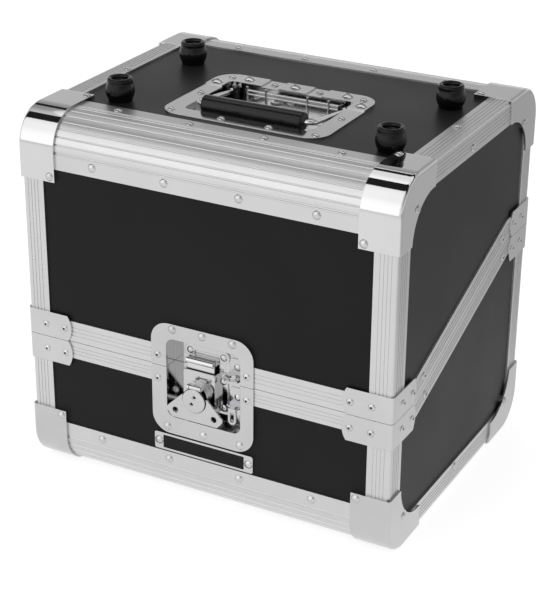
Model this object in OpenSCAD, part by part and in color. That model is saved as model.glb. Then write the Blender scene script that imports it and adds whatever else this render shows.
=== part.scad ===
// Carrying case for twelve inch records: slanted opening, fluted edge profiles,
// recessed turn latch on the front and recessed bail handle on the top.

/* [Case] */
// Width over the edge profiles
case_w = 368; // [350:1:420]
// Depth over the edge profiles
case_d = 302; // [270:1:420]
// Height over the edge profiles
case_h = 350; // [330:1:420]
// Thickness of the laminated panels
panel_t = 7; // [5:0.5:9]
// Thickness of the soft lining at the sides
lining_t = 10; // [4:0.5:14]

/* [Edge profiles] */
// Wall of the edge profiles
skin_t = 1.6; // [1.2:0.1:2.4]
// Outer radius of the four long edges
edge_r = 32; // [26:0.5:36]
// Leg of the long profiles from the outer corner
edge_leg = 48; // [44:0.5:54]
// Leg of the front profile on the top face
top_leg = 53; // [46:0.5:56]
// Flutes round each long edge
edge_flutes = 8; // [4:1:10]
// Depth of the flutes
flute_d = 0.6; // [0.3:0.1:0.9]
// Leg of the side and upright profiles
side_leg = 22; // [16:0.5:24]
// Outer corner radius of the side and upright profiles
side_r = 3; // [2:0.1:4]
// Pitch of the fine grooves
groove_pitch = 3.5; // [2.5:0.1:4]
// Thickness of the inner legs
inner_t = 1.2; // [0.8:0.1:1.6]

/* [Seam] */
// Height of the seam at the front
seam_front = 135.5; // [128:0.5:142]
// Height of the seam at the back
seam_back = 210.5; // [190:0.5:230]
// Level length of the seam at front and back
seam_flat = 49; // [40:0.5:60]
// Gap between the closing frames
seam_gap = 0.4; // [0.3:0.05:0.8]
// Visible height of the lid's closing frame
frame_up = 20.5; // [16:0.5:24]
// Visible height of the base's closing frame
frame_dn = 17.1; // [14:0.5:20]
// Height of the dust lip above the seam
lip_h = 5; // [3:0.5:8]

/* [Corner caps] */
// Thickness of the corner caps
cap_t = 2; // [1.5:0.1:3]
// Width of a cap on the front, back, top and bottom
cap_w = 35.5; // [33:0.5:40]
// Reach of a cap down the front
cap_z = 60; // [57:0.5:70]
// Reach of a cap over the top
cap_y = 66; // [63:0.5:74]
// Radius of the hollow edge on the side
cap_hollow = 40.5; // [36:0.5:44]
// Edge rounding of the caps
cap_round = 3.4; // [2.4:0.1:4.5]

/* [Seam brackets] */
// Thickness of the seam brackets
brk_t = 1.6; // [1.2:0.1:2.2]
// Length of a bracket leg at mid height
brk_w = 46; // [43:0.5:50]
// Height of one bracket half
brk_h = 25.3; // [22:0.5:30]

/* [Latch] */
// Width of the latch dish flange
dish_w = 104; // [100:1:110]
// Lower edge of the latch dish flange
dish_z0 = 68.6; // [68:0.2:71]
// Upper edge of the latch dish flange
dish_z1 = 179; // [176:0.5:184]
// Corner radius of the dish flange
dish_r = 18; // [10:0.5:24]
// Width of the dish opening
dish_ow = 75.5; // [72:0.5:78]
// Depth of the latch dish
dish_d = 14; // [13:0.5:18]
// Sheet thickness of the dishes
sheet_t = 1.5; // [1.2:0.1:2]
// Centre of the turn spindle to the left of the middle
latch_x = 7; // [6:0.5:9]
// Height of the turn spindle
latch_z = 113; // [111:0.5:114]
// Radius of the spindle's drum
drum_r = 11.3; // [9:0.1:11.6]
// Radius of the spindle shaft
spin_r = 6; // [5:0.1:7]
// Depth of the latch cover behind the face plane
cover_d = 5.6; // [5:0.1:6.2]
// Sheet thickness of the latch cover
cover_t = 1.4; // [1:0.1:1.6]
// Half width of the wing
wing_w = 28.6; // [24:0.2:29]
// Radius of the disc on the wing
wing_disc = 11.5; // [9:0.1:11.8]
// Thickness of the wing
wing_t = 1.6; // [1.2:0.1:2]
// Running clearance of shafts in bores, radial
run_gap = 0.05; // [0.02:0.01:0.1]
// Throw of the crank pin
crank_e = 5; // [4:0.5:6]
// Width of the draw tongue
tongue_w = 28; // [24:0.5:30]
// Thickness of the draw tongue
tongue_t = 1.3; // [1:0.1:1.6]
// Radius of the draw tongue's rolled hook
hook_r = 2.6; // [2:0.1:2.8]
// Width of the padlock tabs
lock_w = 16.5; // [14:0.5:18]
// Radius of the padlock holes
lock_r = 3.5; // [3:0.1:4]

/* [Handle] */
// Width of the handle dish flange
hd_w = 162; // [150:1:180]
// Front edge of the handle dish flange
hd_y0 = -89; // [-92:0.5:-86]
// Back edge of the handle dish flange
hd_y1 = 34; // [30:0.5:40]
// Corner radius of the handle dish flange
hd_r = 20; // [14:0.5:24]
// Width of the handle dish opening
hd_ow = 127; // [124:0.5:132]
// Flange in front of the opening
hd_front = 17; // [14:0.5:20]
// Flange behind the opening
hd_back = 20; // [18:0.5:24]
// Corner radius of the opening
hd_or = 6; // [4:0.5:7]
// Depth of the handle dish below its flange
hd_d = 14.5; // [12:0.5:15]
// Height of the raised pads on the back flange
pad_h = 1.2; // [0.6:0.1:1.6]
// Length of the grip
grip_l = 100; // [90:1:101]
// Diameter of the grip
grip_d = 21; // [16:0.5:22]
// Diameter of the bail rod
bail_d = 5; // [4.4:0.1:5.4]
// Spacing of the bail arms
bail_w = 115; // [113:0.5:115]
// Centre line radius of the bail's bends
bend_r = 6.5; // [6:0.1:7]
// Radius of the bail's pivot pins
axle_r = 1.6; // [1.2:0.1:1.8]
// Width of the black saddles that hold the bail
saddle_w = 10; // [9:0.2:10]
// Clearance between bail and saddle, each side
saddle_gap = 0.3; // [0.2:0.05:0.5]

/* [Hinges] */
// Spacing of the two hinges
hinge_x = 190; // [140:1:240]
// Radius of the hinge knuckles
knuck_r = 4.1; // [3.5:0.1:4.4]
// Radius of the hinge pins
pin_r = 2; // [1.5:0.1:2.4]

/* [Feet and fasteners] */
// Height of the rubber feet
foot_h = 20; // [14:0.5:24]
// Largest diameter of the feet
foot_d = 22.5; // [20:0.5:23]
// Rivet head diameter
rivet_d = 8; // [6:0.2:9]
// Rivet head height
rivet_h = 2.2; // [1.4:0.1:2.6]
// Rivet shank radius
shank_r = 2; // [1.5:0.1:2.4]
// Pitch of the rivets along the long profiles
rivet_pitch = 73; // [60:1:76]

/* [Hidden] */
$fn = 64;

hw = case_w / 2;
hd = case_d / 2;
st = skin_t;
inn = skin_t + panel_t;
leg_in = inn + inner_t;
pe = edge_r + 1.3;
hg = seam_gap / 2;
web = hg + 2;
sy0 = -hd + seam_flat;
sy1 = hd - seam_flat;
sth = atan2(seam_back - seam_front, sy1 - sy0);
hinge_y = hd + knuck_r + 0.4;
hinge_z = seam_back;
dish_z_lo = dish_z0 + 17.4;
dish_z_hi = dish_z1 - 14.5;
dish_cx = 1.15;
bot_leg = edge_leg - 0.5;
wing_l = 2.6;
ear_r = 2.5;
front_ext = hd + wing_l + ear_r;
back_ext = hinge_y + knuck_r;
shift_y = (front_ext - back_ext) / 2;
hand_z = case_h - skin_t;
hand_b = hd_y1 - hd_back;
bail_y = hand_b - 7.7;
bail_z = case_h - 6.5;
eye_r = 3.4;
eye_l = bail_d + 0.2;
grip_y = -58;
grip_z = case_h + 2;
bail_l = sqrt((bail_y - grip_y) * (bail_y - grip_y) + (grip_z - bail_z) * (grip_z - bail_z));
bail_a = atan2(grip_z - bail_z, bail_y - grip_y);
fx = [-126, 140];
fy = [-77, 51];

black = [0.06, 0.06, 0.065];
alu = [0.75, 0.76, 0.77];
steel = [0.62, 0.63, 0.64];
chrome = [0.86, 0.86, 0.87];
dark = [0.1, 0.1, 0.1];

// ---- helpers ----

module placed() {
  translate([0, shift_y, cap_t]) children();
}

module along_x(a, b) {
  translate([a, 0, 0]) rotate([90, 0, 90]) linear_extrude(b - a) children();
}

module along_y(a, b) {
  translate([0, b, 0]) rotate([90, 0, 0]) linear_extrude(b - a) children();
}

module along_z(a, b) {
  translate([0, 0, a]) linear_extrude(b - a) children();
}

module rrect(x0, y0, x1, y1, r) {
  translate([x0 + r, y0]) square([x1 - x0 - 2 * r, y1 - y0]);
  translate([x0, y0 + r]) square([x1 - x0, y1 - y0 - 2 * r]);
  for (x = [x0 + r, x1 - r])
    for (y = [y0 + r, y1 - r])
      translate([x, y]) circle(r);
}

module rect(x0, y0, x1, y1) {
  translate([x0, y0]) square([x1 - x0, y1 - y0]);
}

module mx() {
  children();
  mirror([1, 0, 0]) children();
}

module my() {
  children();
  mirror([0, 1, 0]) children();
}

// local z points out of the face, local origin on the profile plane
module at(f, u, v) {
  if (f == "F") translate([u, -hd, v]) rotate([90, 0, 0]) children();
  if (f == "K") translate([u, hd, v]) rotate([-90, 0, 0]) children();
  if (f == "T") translate([u, v, case_h]) children();
  if (f == "B") translate([u, v, 0]) rotate([180, 0, 0]) children();
  if (f == "R") translate([hw, u, v]) rotate([0, 90, 0]) children();
  if (f == "L") translate([-hw, u, v]) rotate([0, -90, 0]) children();
}

// seam line raised by h square to itself
function sk(h) = -h * tan(sth / 2);
function seam(h) = [[-case_d, seam_front + h], [sy0 + sk(h), seam_front + h],
  [sy1 + sk(h), seam_back + h], [case_d, seam_back + h]];
function seam_at(y) = seam_front + (seam_back - seam_front) * (y - sy0) / (sy1 - sy0);

module band(h0, h1) {
  polygon(concat(seam(h0), [for (i = [3:-1:0]) seam(h1)[i]]));
}

module above(h) {
  polygon(concat(seam(h), [[case_d, 2 * case_h], [-case_d, 2 * case_h]]));
}

module below(h) {
  polygon(concat(seam(h), [[case_d, -case_h], [-case_d, -case_h]]));
}

// ---- fasteners ----

rows = [-1.5 * rivet_pitch, -0.5 * rivet_pitch, 0.5 * rivet_pitch, 1.5 * rivet_pitch];
cap_u = hw - 30.5;
lid_top_r = concat(
  [for (x = rows) ["T", x, -hd + top_leg - 8.5, 0]],
  [for (x = rows) ["T", x, hd - edge_leg + 7, 0]]);
lid_topside_r = [["T", -hw + 16.5, 0, 0], ["T", hw - 16.5, 0, 0]];
lid_topcap_r = concat(
  [for (s = [-1, 1]) ["T", s * cap_u, -hd + cap_y - 5, cap_t]],
  [for (s = [-1, 1]) ["T", s * cap_u, hd - cap_y + 5, cap_t]]);
lid_front_r = [for (x = rows) ["F", x, case_h - edge_leg + 8.5, 0]];
lid_frontcap_r = [for (s = [-1, 1]) ["F", s * cap_u, case_h - cap_z + 5, cap_t]];
lid_back_r = [for (x = rows) ["K", x, case_h - edge_leg + 8.5, 0]];
lid_backcap_r = [for (s = [-1, 1]) ["K", s * cap_u, case_h - cap_z + 5, cap_t]];
lid_side_r = [["R", 0, case_h - 16, 0]];
lid_sidecap_r = [for (s = [-1, 1]) ["R", s * (hd - 29.8), case_h - 29.8, cap_t]];
base_floor_r = concat(
  [for (x = rows) ["B", x, -hd + edge_leg - 7, 0]],
  [for (x = rows) ["B", x, hd - edge_leg + 7, 0]]);
base_floorcap_r = concat(
  [for (s = [-1, 1]) ["B", s * cap_u, -hd + cap_y - 5, 0.6]],
  [for (s = [-1, 1]) ["B", s * cap_u, hd - cap_y + 5, 0.6]]);
base_front_r = [for (x = rows) ["F", x, bot_leg - 7.7, 0]];
base_frontcap_r = [for (s = [-1, 1]) ["F", s * cap_u, cap_z - 5, cap_t]];
base_back_r = [for (x = rows) ["K", x, bot_leg - 7.7, 0]];
base_backcap_r = [for (s = [-1, 1]) ["K", s * cap_u, cap_z - 5, cap_t]];
base_side_r = [["R", 0, 17.5, 0]];
base_sidecap_r = [for (s = [-1, 1]) ["R", s * (hd - 29.8), 29.8, cap_t]];
dish_up_r = [["F", -30, dish_z1 - 5, sheet_t], ["F", 0.5, dish_z1 - 5, sheet_t],
  ["F", 31, dish_z1 - 5, sheet_t]];
dish_dn_r = [["F", -36.6, dish_z0 + 6.6, sheet_t], ["F", 1, dish_z0 + 6.6, sheet_t],
  ["F", 38.4, dish_z0 + 6.6, sheet_t]];
plate_z = (bot_leg + dish_z0) / 2 - 0.4;
plate_r = [["F", -46.5, plate_z, -0.6], ["F", 46.5, plate_z, -0.6]];
hand_u = hd_w / 2 - 9.5;
hand_o = sheet_t - st;
hand_r = [["T", -hand_u, hd_y0 + 10, hand_o], ["T", -hand_u, -27, hand_o],
  ["T", -hand_u + 4.5, hd_y1 - 10.5, hand_o + pad_h], ["T", -23, hd_y1 - 9.5, hand_o],
  ["T", 23, hd_y1 - 9, hand_o], ["T", hand_u - 3.5, hd_y1 - 11.5, hand_o + pad_h],
  ["T", hand_u, -29, hand_o], ["T", hand_u, hd_y0 + 10, hand_o],
  ["T", 27, hd_y0 + 8.5, hand_o], ["T", -20, hd_y0 + 8.5, hand_o]];
back_a = dish_d - sheet_t;
plate_head = 1.6;
tg0 = -latch_x - tongue_w / 2;
tg1 = -latch_x + tongue_w / 2;
lock_x0 = 20.5;
lock_x1 = lock_x0 + lock_w;
lock_cx = lock_x0 + lock_w / 2;
lock_y = 3.4;
lug_z = seam_front - 20.8;
key_r = 5.8;
key_x0 = -latch_x - 18.5;
key_x1 = lock_x0 - 0.1;
key_z = seam_front + 15.2;
foot_x = tg1 + 7;
lid_dish_r = [[key_x0 + key_r, key_z], [key_x1 - key_r, key_z], [lock_cx, seam_front + 9]];
base_dish_r = [[lock_cx, lug_z], [foot_x, latch_z - 13], [foot_x, latch_z + 14]];
pin12 = 12.5;
lid_front_p = concat(
  [for (s = [-1, 1]) for (u = [18.4, 38.7]) ["F", s * (hw - u), seam_front + pin12, brk_t]],
  [for (s = [-1, 1]) ["F", s * 45.4, 146, sheet_t]]);
lid_back_p = [for (s = [-1, 1]) for (u = [18.4, 38.7]) ["K", s * (hw - u), seam_back + pin12, brk_t]];
lid_side_p = concat(
  [for (u = [18.4, 38.7]) ["R", -hd + u, seam_front + pin12, brk_t]],
  [for (u = [18.4, 38.7]) ["R", hd - u, seam_back + pin12, brk_t]],
  [["R", -hd + 64.6, seam_at(-hd + 64.6) + 11.2, 0], ["R", hd - 64.6, seam_at(hd - 64.6) + 11.2, 0]]);
base_front_p = concat(
  [for (s = [-1, 1]) for (u = [18.4, 38.7]) ["F", s * (hw - u), seam_front - pin12, brk_t]],
  [for (s = [-1, 1]) ["F", s * 45.4, 122.7, sheet_t]]);
base_back_p = [for (s = [-1, 1]) for (u = [18.4, 38.7]) ["K", s * (hw - u), seam_back - pin12, brk_t]];
base_side_p = concat(
  [for (u = [18.4, 38.7]) ["R", -hd + u, seam_front - pin12, brk_t]],
  [for (u = [18.4, 38.7]) ["R", hd - u, seam_back - pin12, brk_t]],
  [["R", -hd + 69.5, seam_at(-hd + 69.5) - 10.8, 0], ["R", hd - 59.4, seam_at(hd - 59.4) - 10.8, 0]]);

module dome(d, h) {
  r = (d * d / 4 + h * h) / (2 * h);
  rotate_extrude()
    intersection() {
      translate([0, h - r]) circle(r, $fn = 96);
      square([d / 2, h]);
    }
}

module solid_rivets(list) {
  for (p = list) {
    at(p[0], p[1], p[2]) translate([0, 0, p[3]]) dome(rivet_d, p[0] == "B" ? min(rivet_h, 1.3) : rivet_h);
    at(p[0], p[1], p[2]) translate([0, 0, -inn]) cylinder(r = shank_r, h = inn + p[3] + 0.3);
  }
}

module pop_rivets(list) {
  for (p = list)
    at(p[0], p[1], p[2]) difference() {
      union() {
        translate([0, 0, p[3]]) dome(rivet_d - 1, rivet_h - 0.5);
        translate([0, 0, -inn]) cylinder(r = shank_r, h = inn + p[3] + 0.3);
      }
      translate([0, 0, p[3] + 0.3]) cylinder(r = 1.1, h = 6);
    }
}

module bores(list) {
  for (p = list)
    at(p[0], p[1], p[2]) translate([0, 0, -inn - 3]) cylinder(r = shank_r + run_gap, h = inn + 8);
}

// rivets of the plates on the back of the latch dish
module plate_rivets(list) {
  for (p = list) at("F", p[0], p[1]) {
    translate([0, 0, -back_a]) dome(rivet_d - 1, plate_head);
    translate([0, 0, -dish_d - sheet_t]) cylinder(r = shank_r, h = 2 * sheet_t + 0.3);
  }
}

module plate_bores(list) {
  for (p = list)
    at("F", p[0], p[1]) translate([0, 0, -dish_d - 2 * sheet_t]) cylinder(r = shank_r + run_gap, h = 4 * sheet_t);
}

module flip_side() {
  children();
  mirror([1, 0, 0]) children();
}

// ---- panels ----

module side_sheet(inset) {
  rrect(-hd + inset, inset, hd - inset, case_h - inset, edge_r - inset);
}

module lid_side_panel() {
  difference() {
    along_x(hw - inn, hw - st)
      intersection() {
        side_sheet(st);
        above(web);
      }
    bores(lid_side_r);
    bores(lid_sidecap_r);
    bores(lid_side_p);
  }
}

module base_side_panel() {
  difference() {
    along_x(hw - inn, hw - st)
      intersection() {
        side_sheet(st);
        below(-web);
      }
    bores(base_side_r);
    bores(base_sidecap_r);
    bores(base_side_p);
  }
}

module lid_side_right() {
  placed() color(black) lid_side_panel();
}

module lid_side_left() {
  placed() color(black) mirror([1, 0, 0]) lid_side_panel();
}

module base_side_right() {
  placed() color(black) base_side_panel();
}

module base_side_left() {
  placed() color(black) mirror([1, 0, 0]) base_side_panel();
}

module dish_hole(c) {
  rrect(dish_cx - dish_ow / 2 - c, dish_z_lo - c, dish_cx + dish_ow / 2 + c, dish_z_hi + c, 8 + c);
}

module hand_hole(c) {
  rrect(-hd_ow / 2 - c, hd_y0 + hd_front - c, hd_ow / 2 + c, hand_b + c, hd_or + c);
}

module lid_front_panel() {
  placed() color(black)
    difference() {
      along_y(-hd + st, -hd + inn)
        difference() {
          rect(-hw + inn, seam_front + web, hw - inn, case_h - pe);
          dish_hole(sheet_t + 0.4);
        }
      bores(lid_front_r);
      bores(lid_frontcap_r);
      bores(lid_front_p);
      bores(dish_up_r);
    }
}

module base_front_panel() {
  placed() color(black)
    difference() {
      along_y(-hd + st, -hd + inn)
        difference() {
          rect(-hw + inn, pe, hw - inn, seam_front - web);
          dish_hole(sheet_t + 0.4);
        }
      bores(base_front_r);
      bores(base_frontcap_r);
      bores(base_front_p);
      bores(dish_dn_r);
      bores(plate_r);
    }
}

module lid_back_panel() {
  placed() color(black)
    difference() {
      along_y(hd - inn, hd - st) rect(-hw + inn, seam_back + web, hw - inn, case_h - pe);
      bores(lid_back_r);
      bores(lid_backcap_r);
      bores(lid_back_p);
      bores(hinge_lid_r);
    }
}

module base_back_panel() {
  placed() color(black)
    difference() {
      along_y(hd - inn, hd - st) rect(-hw + inn, pe, hw - inn, seam_back - web);
      bores(base_back_r);
      bores(base_backcap_r);
      bores(base_back_p);
      bores(hinge_base_r);
    }
}

module lid_top_panel() {
  placed() color(black)
    difference() {
      along_z(case_h - inn, case_h - st)
        difference() {
          rect(-hw + inn, -hd + pe, hw - inn, hd - pe);
          hand_hole(sheet_t + 0.4);
        }
      bores(lid_top_r);
      bores(lid_topside_r);
      bores(lid_topcap_r);
      bores(hand_r);
      for (x = fx) for (y = fy)
        translate([x, y, case_h - inn - 1]) cylinder(r = 2.05, h = 12);
    }
}

module base_floor() {
  placed() color(black)
    difference() {
      along_z(st, inn) rect(-hw + inn, -hd + pe, hw - inn, hd - pe);
      bores(base_floor_r);
      bores(base_floorcap_r);
    }
}

// ---- long edge profiles ----

// outer corner at the origin, legs a along x and b along y
module edge_section(a, b) {
  difference() {
    union() {
      rect(edge_r, 0, a, st);
      rect(0, edge_r, st, b);
      intersection() {
        translate([edge_r, edge_r])
          difference() {
            circle(edge_r, $fn = 128);
            circle(edge_r - st, $fn = 128);
          }
        square([edge_r, edge_r]);
      }
      rect(edge_r, 0, pe, leg_in);
      rect(0, edge_r, leg_in, pe);
      rect(edge_r, inn, a, leg_in);
      rect(inn, edge_r, leg_in, b);
    }
    for (i = [0:edge_flutes - 1])
      translate([edge_r, edge_r]) rotate(180 + 90 * i / (edge_flutes - 1))
        translate([edge_r + 0.25, 0]) circle(flute_d + 0.25, $fn = 24);
    for (x = [a - 15, a - 17.5])
      translate([x, -0.25]) circle(flute_d + 0.1, $fn = 24);
    for (y = [b - 14.5])
      translate([-0.25, y]) circle(flute_d + 0.1, $fn = 24);
  }
}

edge_x = hw - side_leg - 0.2;

module lid_edge_front() {
  placed() color(alu)
    difference() {
      along_x(-edge_x, edge_x)
        translate([-hd, case_h]) mirror([0, 1]) edge_section(top_leg, edge_leg);
      bores(lid_top_r);
      bores(lid_front_r);
    }
}

module lid_edge_back() {
  placed() color(alu)
    difference() {
      along_x(-edge_x, edge_x)
        translate([hd, case_h]) mirror([0, 1]) mirror([1, 0]) edge_section(edge_leg, edge_leg);
      bores(lid_top_r);
      bores(lid_back_r);
    }
}

module base_edge_front() {
  placed() color(alu)
    difference() {
      along_x(-edge_x, edge_x)
        translate([-hd, 0]) edge_section(edge_leg, bot_leg);
      bores(base_floor_r);
      bores(base_front_r);
    }
}

module base_edge_back() {
  placed() color(alu)
    difference() {
      along_x(-edge_x, edge_x)
        translate([hd, 0]) mirror([1, 0]) edge_section(edge_leg, bot_leg);
      bores(base_floor_r);
      bores(base_back_r);
    }
}

// ---- side and upright profiles ----

module ell(a, b) {
  difference() {
    union() {
      rect(side_r, 0, a, st);
      rect(0, side_r, st, b);
      intersection() {
        translate([side_r, side_r]) circle(side_r);
        square([side_r, side_r]);
      }
    }
    translate([st, st]) square([a, b]);
    for (i = [0:3]) {
      rect(a - 5.5 - i * groove_pitch - 0.8, -1, a - 5.5 - i * groove_pitch, 0.35);
      rect(-1, b - 5.5 - i * groove_pitch - 0.8, 0.35, b - 5.5 - i * groove_pitch);
    }
  }
}

module lid_side_profiles() {
  placed() color(alu)
    flip_side() difference() {
      along_y(-hd + edge_r, hd - edge_r)
        translate([hw, case_h]) mirror([0, 1]) mirror([1, 0]) ell(side_leg, side_leg);
      bores(lid_topside_r);
      bores(lid_side_r);
    }
}

module base_side_profiles() {
  placed() color(alu)
    flip_side() difference() {
      along_y(-hd + edge_r, hd - edge_r)
        translate([hw, 0]) mirror([1, 0]) ell(side_leg, side_leg + 1);
      bores(base_side_r);
    }
}

module upright(x, y, z0, z1) {
  along_z(z0, z1)
    translate([x * hw, y * hd]) scale([-x, -y]) ell(side_leg, side_leg + 1);
}

module lid_uprights() {
  placed() color(alu)
    mx() {
      upright(1, -1, seam_front + frame_up + 0.2, case_h - edge_r);
      upright(1, 1, seam_back + frame_up + 0.2, case_h - edge_r);
    }
}

module base_uprights() {
  placed() color(alu)
    mx() {
      upright(1, -1, edge_r, seam_front - frame_dn - 0.2);
      upright(1, 1, edge_r, seam_back - frame_dn - 0.2);
    }
}

// ---- closing frames ----

module ring(o, i, h0, h1) {
  intersection() {
    along_x(-hw - 1, hw + 1) band(h0, h1);
    along_z(0, case_h)
      difference() {
        if (o == 0) rrect(-hw, -hd, hw, hd, side_r);
        else rect(-hw + o, -hd + o, hw - o, hd - o);
        rect(-hw + i, -hd + i, hw - i, hd - i);
      }
  }
}

module latch_gap() {
  translate([-dish_w / 2 - 0.1, -hd - 1, 0]) cube([dish_w + 0.2, st + 1.05, case_h]);
  translate([dish_cx - dish_ow / 2 - 2, -hd - 1, 0]) cube([dish_ow + 4, dish_d + 10, case_h]);
}

// long shallow grooves on the sides, parallel with the seam
module seam_grooves(list) {
  for (h = list) {
    along_x(hw - 0.35, hw + 1) band(h - 0.4, h + 0.4);
    along_x(-hw - 1, -hw + 0.35) band(h - 0.4, h + 0.4);
  }
}

module front_grooves(list) {
  for (h = list) {
    translate([-hw - 1, -hd - 1, seam_front + h - 0.4]) cube([case_w + 2, 1.35, 0.8]);
    translate([-hw - 1, hd - 0.35, seam_back + h - 0.4]) cube([case_w + 2, 1.35, 0.8]);
  }
}

module lid_frame() {
  gr = [frame_up - 6, frame_up - 10, frame_up - 14];
  placed() color(alu)
    difference() {
      union() {
        ring(0, st, hg, frame_up);
        ring(0, leg_in, hg, web);
        ring(inn, leg_in, hg, 16);
      }
      latch_gap();
      seam_grooves(gr);
      front_grooves(gr);
      bores(lid_front_p);
      bores(lid_back_p);
      flip_side() bores(lid_side_p);
      bores(hinge_lid_r);
    }
}

module base_frame() {
  gr = [-frame_dn + 5, -frame_dn + 8.5, -frame_dn + 12];
  placed() color(alu)
    difference() {
      union() {
        ring(0, st, -frame_dn, -hg);
        ring(0, leg_in, -web, -hg);
        ring(inn, leg_in, -16, -hg);
        ring(leg_in - 0.1, leg_in + 2.4, -5, -3);
        ring(leg_in + 1.2, leg_in + 2.4, -5, lip_h);
      }
      latch_gap();
      seam_grooves(gr);
      front_grooves(gr);
      bores(base_front_p);
      bores(base_back_p);
      flip_side() bores(base_side_p);
      bores(hinge_base_r);
    }
}

// ---- corner caps ----

module cap_sec() {
  difference() {
    union() {
      rect(-8, -cap_w, cap_t - cap_round, cap_t);
      rect(-8, -cap_w, cap_t, cap_t - cap_round);
      translate([cap_t - cap_round, cap_t - cap_round]) circle(cap_round);
    }
    rect(-20, -cap_w - 1, 0, 0);
  }
}

// cap of the right front top corner
module cap(leg_top, leg_front) {
  difference() {
    union() {
      along_z(case_h - cap_z, case_h - edge_r)
        translate([hw, -hd]) rotate(-90) cap_sec();
      along_y(-hd + edge_r, -hd + cap_y)
        translate([hw, case_h]) mirror([1, 0]) rotate(90) cap_sec();
      translate([hw, -hd + edge_r, case_h - edge_r]) rotate([90, 0, 90]) rotate([0, 0, 90])
        rotate_extrude(angle = 90) translate([edge_r, 0]) cap_sec();
      along_x(hw, hw + cap_t)
        translate([-hd, case_h]) mirror([0, 1])
          difference() {
            intersection() {
              rrect(2, 2, 160, 160, edge_r - 2);
              square([cap_y - 1, cap_z]);
            }
            translate([62, 62]) circle(cap_hollow, $fn = 96);
          }
      translate([hw - cap_w, -hd, case_h - cap_z]) cube([cap_w - side_leg - 0.2, st, cap_z - leg_front - 0.2]);
      translate([hw - cap_w, -hd + leg_top + 0.2, case_h - st])
        cube([cap_w - side_leg - 0.2, cap_y - leg_top - 0.2, st]);
      translate([hw - st, -hd + 29.8, case_h - 29.8]) rotate([0, 90, 0]) cylinder(r = 5.5, h = st + cap_t);
    }
    bores(lid_topcap_r);
    bores(lid_frontcap_r);
    bores(lid_sidecap_r);
  }
}

module lid_caps_front() {
  placed() color(chrome) mx() cap(top_leg, edge_leg);
}

module lid_caps_back() {
  placed() color(steel) mx() mirror([0, 1, 0]) cap(edge_leg, edge_leg);
}

module base_caps() {
  placed() color(steel)
    difference() {
      mx() my() translate([0, 0, case_h]) mirror([0, 0, 1]) cap(edge_leg, bot_leg);
      for (p = base_floorcap_r)
        translate([p[1], p[2], -cap_t - 1]) cylinder(d = rivet_d + 1, h = 1 + cap_t - 0.6);
    }
}

// ---- seam brackets ----

module brk_face(z0, z1) {
  intersection() {
    rect(0, z0, brk_w, z1);
    translate([brk_w - 22, (z0 + z1) / 2]) union() {
      circle(22);
      rect(-60, -60, 0, 60);
    }
  }
}

module bracket(z0, z1) {
  // front leg, corner bead and side leg of the right front corner
  along_y(-hd - brk_t, -hd)
    translate([hw, 0]) mirror([1, 0])
      difference() {
        brk_face(z0, z1);
        rect(-1, z0 - 1, side_r, z1 + 1);
      }
  along_x(hw, hw + brk_t)
    translate([-hd, 0])
      difference() {
        brk_face(z0, z1);
        rect(-1, z0 - 1, side_r, z1 + 1);
      }
  along_z(z0, z1)
    translate([hw - side_r, -hd + side_r])
      intersection() {
        difference() {
          circle(side_r + brk_t);
          circle(side_r);
        }
        rect(0, -10, 10, 0);
      }
}

module lid_brackets() {
  placed() color(steel)
    mx() difference() {
      union() {
        bracket(seam_front + hg, seam_front + brk_h);
        mirror([0, 1, 0]) bracket(seam_back + hg, seam_back + brk_h);
      }
      bores(lid_front_p);
      bores(lid_back_p);
      bores(lid_side_p);
    }
}

module base_brackets() {
  placed() color(steel)
    mx() difference() {
      union() {
        bracket(seam_front - brk_h, seam_front - hg);
        mirror([0, 1, 0]) bracket(seam_back - brk_h, seam_back - hg);
      }
      bores(base_front_p);
      bores(base_back_p);
      bores(base_side_p);
    }
}

// ---- linings ----

// gap between neighbouring pads
pad_gap = 0.4;
dish_u0 = dish_cx - dish_ow / 2 - sheet_t - 2;
dish_u1 = dish_cx + dish_ow / 2 + sheet_t + 2;

module lid_lining() {
  hole_x = hd_ow / 2 + sheet_t + 2;
  hole_y0 = hd_y0 + hd_front - sheet_t - 2;
  hole_y1 = hand_b + sheet_t + 2;
  pad_x = hw - inn - lining_t - 0.2;
  pad_y0 = -hd + top_leg + 1;
  pad_y1 = hd - edge_leg - 1;
  placed() color(dark) {
    mx() along_x(hw - inn - lining_t, hw - inn)
      intersection() {
        rrect(-hd + inn + 8.2, inn, hd - inn - 8.2, case_h - inn - 0.2, edge_r - inn);
        above(18);
      }
    along_z(case_h - inn - 6, case_h - inn) {
      mx() rect(hole_x, pad_y0, pad_x, pad_y1);
      rect(-hole_x + pad_gap, pad_y0, hole_x - pad_gap, hole_y0);
      rect(-hole_x + pad_gap, hole_y1, hole_x - pad_gap, pad_y1);
    }
    along_y(-hd + inn, -hd + inn + 8) {
      rect(-pad_x, seam_front + 18, dish_u0, case_h - edge_leg - 1);
      rect(dish_u1, seam_front + 18, pad_x, case_h - edge_leg - 1);
      rect(dish_u0 + pad_gap, dish_z_hi + sheet_t + 2, dish_u1 - pad_gap, case_h - edge_leg - 1);
    }
    along_y(hd - inn - 8, hd - inn) rect(-pad_x, seam_back + 18, pad_x, case_h - edge_leg - 1);
  }
}

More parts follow.
